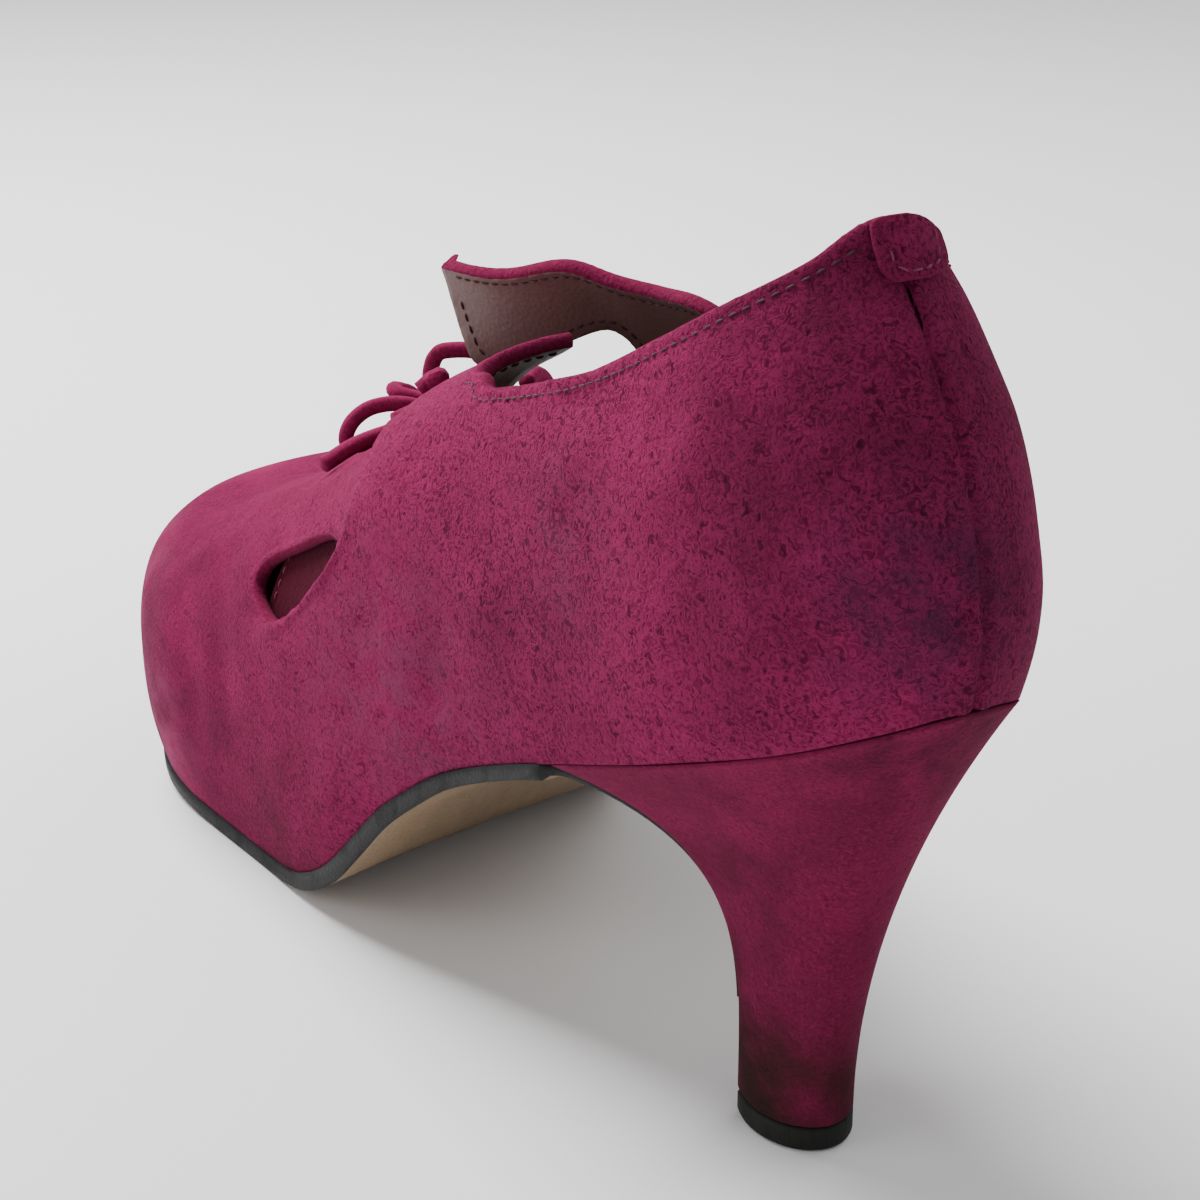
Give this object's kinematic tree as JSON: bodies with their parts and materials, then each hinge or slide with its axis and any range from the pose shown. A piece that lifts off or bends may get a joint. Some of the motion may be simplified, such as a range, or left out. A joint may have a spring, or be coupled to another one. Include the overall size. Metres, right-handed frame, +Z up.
{
  "type": "high heel shoe",
  "caption": "Left suede ankle-height high heel shoe with a cut-out on each side, an inner strap over the instep, cord bows and a covered tapered heel.",
  "frame": {"origin": "middle of the heel tip where it rests on the floor", "axes": "+X to the toe, +Y to the outer side of the left foot, +Z up"},
  "size_m": [0.227, 0.0794, 0.1382],
  "materials": {
    "suede": "napped suede",
    "dark_suede": "napped suede in the shade",
    "cord": "folded suede strip",
    "sole": "smooth sole leather with a black edge",
    "top_lift": "matte",
    "lining": "satin"
  },
  "bodies": {
    "root": {"upper": "suede", "tongue": "dark_suede", "side_flap": "dark_suede", "back_tab": "suede", "outsole": "sole", "heel": "suede", "top_lift": "top_lift", "insole": "lining", "front_bow_bar": "cord", "front_bow_knot": "cord", "front_bow_loop_a": "cord", "front_bow_loop_b": "cord", "upper_bow_bar": "cord", "upper_bow_knot": "cord", "upper_bow_loop_a": "cord", "upper_bow_loop_b": "cord"}
  },
  "joints": []
}
